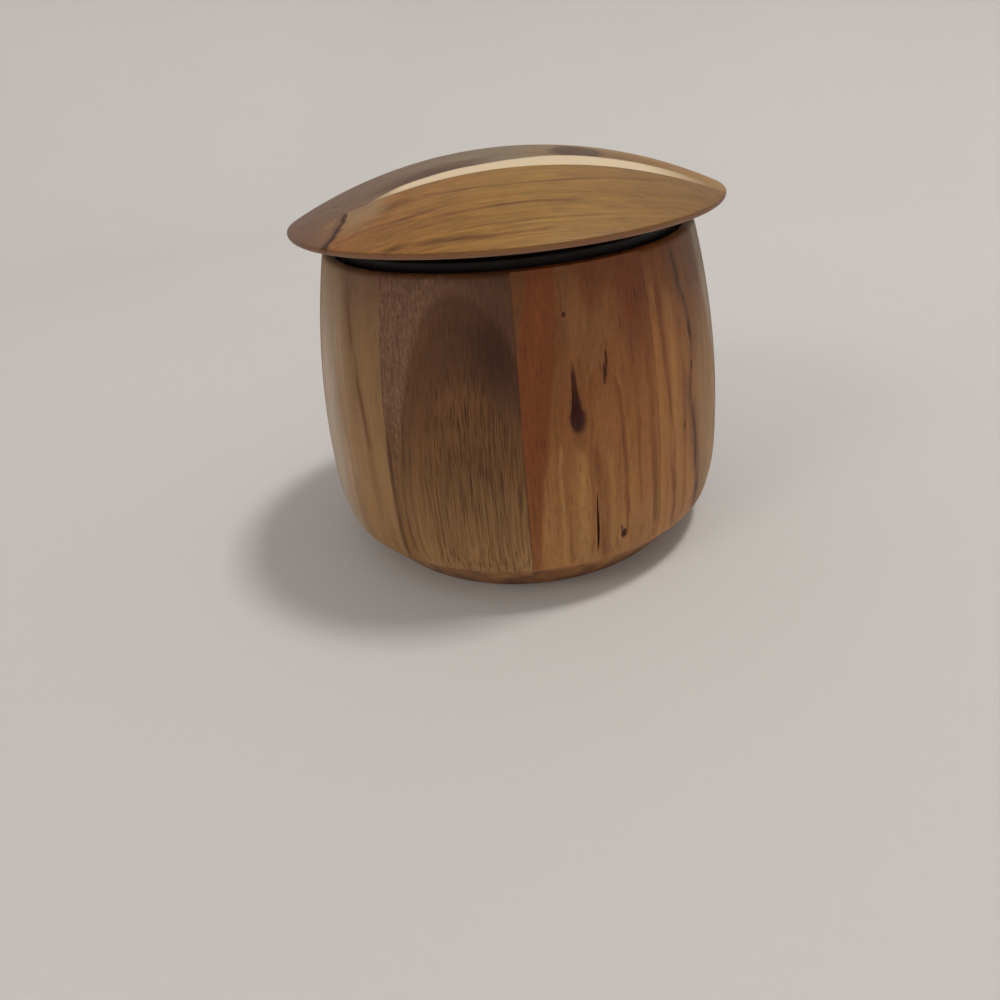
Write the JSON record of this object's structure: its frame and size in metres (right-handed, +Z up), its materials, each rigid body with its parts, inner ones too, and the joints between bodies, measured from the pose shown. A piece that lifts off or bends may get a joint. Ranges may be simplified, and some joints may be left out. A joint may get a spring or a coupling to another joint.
{
  "type": "wooden spice jar",
  "caption": "Barrel-shaped jar of glued wooden staves with a domed, overhanging lift-off lid, a plug underneath and a silicone seal.",
  "frame": {"origin": "centre of the foot ring, on the surface that the jar stands on", "axes": "+Z up along the axis of the jar and its lid; the lid's boards run within 5 degrees of X, and a stave joint faces -Y, the front"},
  "size_m": [0.12, 0.12, 0.1079],
  "materials": {
    "acacia_red_brown": "oiled satin",
    "acacia_orange": "oiled satin",
    "acacia_dark": "oiled satin",
    "acacia_pale": "oiled satin",
    "acacia_golden": "oiled satin",
    "acacia_lid_front": "oiled satin",
    "acacia_lid_back": "oiled satin",
    "black_silicone": "matte"
  },
  "bodies": {
    "jar": {"stave_01": "acacia_red_brown", "stave_02": "acacia_orange", "stave_03": "acacia_golden", "stave_04": "acacia_dark", "stave_05": "acacia_pale", "stave_06": "acacia_golden", "stave_07": "acacia_red_brown", "stave_08": "acacia_orange", "stave_09": "acacia_pale", "stave_10": "acacia_dark", "base_board_left": "acacia_golden", "base_board_middle": "acacia_red_brown", "base_board_right": "acacia_dark"},
    "lid": {"lid_board_front": "acacia_lid_front", "lid_board_middle": "acacia_lid_back", "lid_board_back": "acacia_golden", "plug_board_left": "acacia_golden", "plug_board_middle": "acacia_orange", "plug_board_right": "acacia_golden", "seal_ring": "black_silicone"}
  },
  "joints": [
    {"name": "lid_lift", "type": "slide", "parent": "jar", "child": "lid", "axis": [0, 0, 1], "range_m": [-0.0049, 0.08]}
  ]
}
